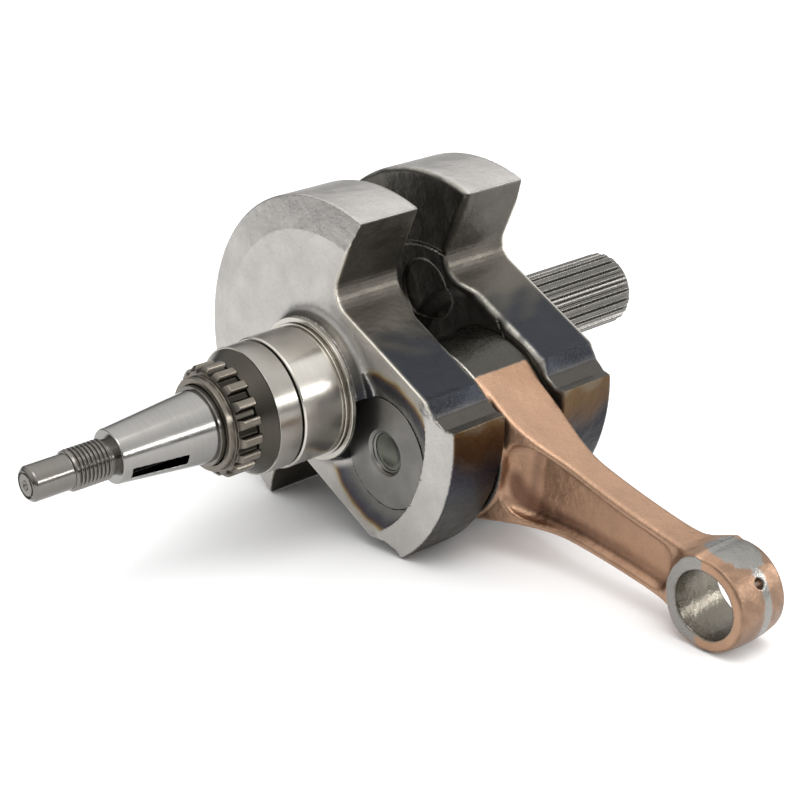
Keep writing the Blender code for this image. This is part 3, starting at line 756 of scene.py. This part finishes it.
def make_left_shaft():
    bright = turned_metal("polished_taper", rgb(142, 140, 137), 0.19, painted=True)
    cut = turned_metal("cut_thread", rgb(116, 113, 108), 0.21, lines=900)
    verts, faces, normals = skin(taper_field, (-108.6, -11.8, -11.8), (-77.0, 11.8, 11.8), 0.25)
    end = to_object("taper", verts, faces, CRANK, normals)
    x, y, z = verts.T
    # Painted shade: the inside of the keyway is painted almost black.
    keyway_shade = ramp(-np.abs(z), -2.2, -1.9) * ramp(y, 4, 5) * ramp(-x, KEYWAY_X[1] - 0.5, KEYWAY_X[1])
    keyway_shade = keyway_shade * ramp(x, -KEYWAY_X[0] - 0.4, -KEYWAY_X[0]) * (np.hypot(y, z) < taper_radius(x) - 0.35)
    colors = np.repeat(1 - 0.97 * keyway_shade[:, None], 3, axis=1)
    paint(end, colors, 0 * x, 0 * x)
    place(end, "crankshaft", "ground_steel", bright, "left_crank_half")
    verts, faces, normals = skin(nose_field, (-134.6, -6.8, -6.8), (-105.2, 6.8, 6.8), 0.16)
    end = to_object("threaded_nose", verts, faces, CRANK, normals)
    place(end, "crankshaft", "ground_steel", cut, "left_crank_half")
    seat = lathe("sleeve_seats", [(-79.5, 0), (-79.5, 10.6), (-78.4, 10.6), (-78.4, 12.0),
                                  (-67.1, 12.0), (-67.1, 15.0), (-36.0, 15.0), (-36.0, 0)], CRANK)
    place(seat, "crankshaft", "ground_steel", cut, "left_crank_half")


def make_drive_end():
    metal = turned_metal("splined_steel", rgb(102, 100, 96), 0.27, lines=900, mottle=0.1)
    verts, faces, normals = skin(spline_field, (-91.4, -15.8, -15.8), (-35.5, 15.8, 15.8), 0.30)
    obj = to_object("splined_end", verts, faces, CRANK, normals, mirrored=True)
    place(obj, "crankshaft", "ground_steel", metal, "right_crank_half")


def make_sleeves():
    ground = turned_metal("ground_race", rgb(190, 186, 178), 0.23)
    plain = turned_metal("ground_collar", rgb(154, 150, 143), 0.23)
    dark = turned_metal("sprocket_steel", rgb(116, 110, 101), 0.30, lines=700, mottle=0.18, painted=True)
    verts, faces, normals = skin(sprocket_field, (-77.6, -17.8, -17.8), (-65.0, 17.8, 17.8), 0.24)
    gear = to_object("sprocket", verts, faces, CRANK, normals)
    x, y, z = verts.T
    # Painted shade in the gaps between the sprocket's teeth, behind its front face.
    tooth_gap_shade = (1 - ramp(np.hypot(y, z), 15.3, 16.3)) * ramp(x, -74.6, -74.2)
    paint(gear, np.repeat(1 - 0.82 * tooth_gap_shade[:, None], 3, axis=1), 0 * x, 0 * x)
    place(gear, "crankshaft", "dark_steel", dark, "timing_sprocket")
    collar = lathe("collar", [(-62.9, 15.1), (-62.9, 19.35), (-55.2, 19.35), (-54.9, 19.05),
                              (-54.9, 15.1)], CRANK)
    place(collar, "crankshaft", "ground_steel", plain, "seal_collar")
    cone = lathe("collar_cone", [(-67.6, 13.0), (-67.6, 15.6), (-63.4, 18.5), (-62.85, 18.9),
                                 (-62.85, 13.0)], CRANK, bevel=0.1)
    # Painted shade: the collar's cone uses a darker copy of the collar steel.
    shade = turned_metal("shaded_cone_steel", rgb(70, 67, 61), 0.30, lines=700, mottle=0.12)
    place(cone, "crankshaft", "dark_steel", shade, "seal_collar")
    race = lathe("race", [(-54.5, 15.1), (-54.5, 19.6), (-54.1, 20.0), (-41.0, 20.0), (-40.8, 19.3),
                          (-40.3, 19.3), (-40.2, 20.6), (-39.7, 20.6), (-39.6, 19.7), (-39.1, 19.7),
                          (-39.0, 22.1), (-37.7, 22.1), (-37.7, 15.1)], CRANK)
    place(race, "crankshaft", "ground_steel", ground, "left_bearing_race")


def make_pin():
    wear_and_sheen = turned_metal("pin_end_steel", rgb(126, 124, 121), 0.36, lines=60, mottle=0.26)
    bright = turned_metal("plug_steel", rgb(88, 90, 82), 0.26, lines=60, mottle=0.2)
    pin = lathe("hollow_pin", [(-32.2, 7.3), (-32.2, 17.2), (32.2, 17.2), (32.2, 7.3), (31.5, 6.4),
                               (31.0, 6.4), (30.7, 5.8), (-30.7, 5.8), (-31.0, 6.4), (-31.5, 6.4)],
                PIN_FRAME, bevel=0.15)
    place(pin, "crankshaft", "ground_steel", wear_and_sheen, "crankpin")
    for side, sign in (("left", 1), ("right", -1)):
        dish = [(29.3 + 1.1 * (i / 8) ** 2, 4.9 * i / 8) for i in range(9)]
        cup = [(-sign * x, r) for x, r in [*dish, (30.5, 5.2), (30.5, 5.7), (24.6, 5.7), (24.6, 0)]]
        place(lathe("plug_" + side, cup, PIN_FRAME, bevel=0), "crankshaft", "bright_steel",
              bright, "pin_plug_" + side)


def make_rod():
    copper = painted_metal("copper_plating", 1100, 0.00013, 0.0005, mottle=0.09, metallic=0.95)
    low, high = (-11.8, -28.0, -28.0), (11.8, ROD_LENGTH + 15.2, 28.0)
    verts, faces, normals = skin(rod_field, low, high, 0.5)
    obj = to_object("rod", verts, faces, ROD, normals)
    paint_rod(obj, verts, normals)
    place(obj, "rod", "copper_plate", copper, "connecting_rod")


def make_bearing():
    bright = turned_metal("washer_steel", rgb(120, 117, 108), 0.26)
    for side, sign in (("left", -1), ("right", 1)):
        ring = [(sign * x, r) for x, r in ((11.15, 17.5), (11.15, 25.6), (12.15, 25.6), (12.15, 17.5))]
        place(lathe("washer_" + side, ring, PIN_FRAME, bevel=0.12), "washer_" + side, "bright_steel",
              bright, "thrust_washer_" + side)
    roller = turned_metal("roller_steel", rgb(190, 188, 184), 0.14)
    cage = turned_metal("cage_bronze", rgb(186, 160, 104), 0.32, lines=500, mottle=0.1)
    for name, node in frame["nodes"].items():
        if name.startswith("big_end_roller"):
            set_material(node, roller)
    set_material(frame["nodes"]["big_end_cage"], cage)


def set_material(obj, material):
    obj.data.materials.clear()
    obj.data.materials.append(material)


# ------------------------------------------------------------------ stage

CAMERA_PLACE = (-0.3366, -0.4017, 0.2027)
CAMERA_RIGHT = (0.7591, -0.6500, -0.0351)
CAMERA_FORWARD = (0.5903, 0.7102, -0.3836)
LENS = 81.4


def make_camera():
    data = bpy.data.cameras.new("camera")
    data.lens = LENS
    data.sensor_width = 36
    data.clip_end = 100
    obj = bpy.data.objects.new("camera", data)
    bpy.context.scene.collection.objects.link(obj)
    right = Vector(CAMERA_RIGHT).normalized()
    forward = Vector(CAMERA_FORWARD).normalized()
    up = right.cross(forward)
    turn = Matrix((right, up, -forward)).transposed().to_4x4()
    obj.matrix_world = Matrix.Translation(AXIS + Vector(CAMERA_PLACE)) @ turn
    bpy.context.scene.camera = obj


def make_floor():
    size = 30.0
    mesh = bpy.data.meshes.new("floor")
    mesh.from_pydata([(-size, -size, 0), (size, -size, 0), (size, size, 0), (-size, size, 0)],
                     [], [(0, 1, 2, 3)])
    obj = bpy.data.objects.new("floor", mesh)
    bpy.context.scene.collection.objects.link(obj)
    s = Shader("pale_floor")
    shade = s.spread(s.noise(3.0, 2.0), 0.90, 0.93)
    s.link(s.grey(shade), "Base Color")
    s.bsdf.inputs["Roughness"].default_value = 0.9
    s.bsdf.inputs["Specular IOR Level"].default_value = 0.1
    mesh.materials.append(s.mat)


def add_light(name, direction, distance, width, height, power):
    data = bpy.data.lights.new(name, 'AREA')
    data.shape = 'RECTANGLE'
    data.size = width
    data.size_y = height
    data.energy = power
    obj = bpy.data.objects.new(name, data)
    bpy.context.scene.collection.objects.link(obj)
    spot = Vector(direction).normalized() * distance
    obj.matrix_world = Matrix.Translation(AXIS + spot) @ spot.to_track_quat('Z', 'Y').to_matrix().to_4x4()


def make_world():
    world = bpy.data.worlds.new("studio")
    world.use_nodes = True
    tree = world.node_tree
    point = tree.nodes.new("ShaderNodeTexCoord").outputs["Generated"]
    split = tree.nodes.new("ShaderNodeSeparateXYZ")
    tree.links.new(point, split.inputs[0])
    stops = tree.nodes.new("ShaderNodeValToRGB")
    tree.links.new(split.outputs["Z"], stops.inputs["Fac"])
    elements = stops.color_ramp.elements
    table = ((0.0, 0.12), (0.15, 0.18), (0.35, 0.70), (0.60, 1.25), (1.0, 1.65))
    while len(elements) < len(table):
        elements.new(0.5)
    for element, (spot, value) in zip(elements, table):
        element.position = spot
        element.color = (value, value, value, 1)
    tree.links.new(stops.outputs["Color"], tree.nodes["Background"].inputs["Color"])
    tree.nodes["Background"].inputs["Strength"].default_value = 1.0
    bpy.context.scene.world = world


def make_stage():
    make_camera()
    make_floor()
    make_world()
    add_light("strip_softbox", (0.59, -0.77, 0.32), 1.2, 1.5, 0.10, 8)
    add_light("top_softbox", (-0.15, -0.35, 1.0), 1.6, 1.0, 0.7, 8)
    bpy.context.scene.view_settings.view_transform = 'Standard'


make_stage()
make_webs()
make_left_shaft()
make_drive_end()
make_sleeves()
make_pin()
make_rod()
make_bearing()
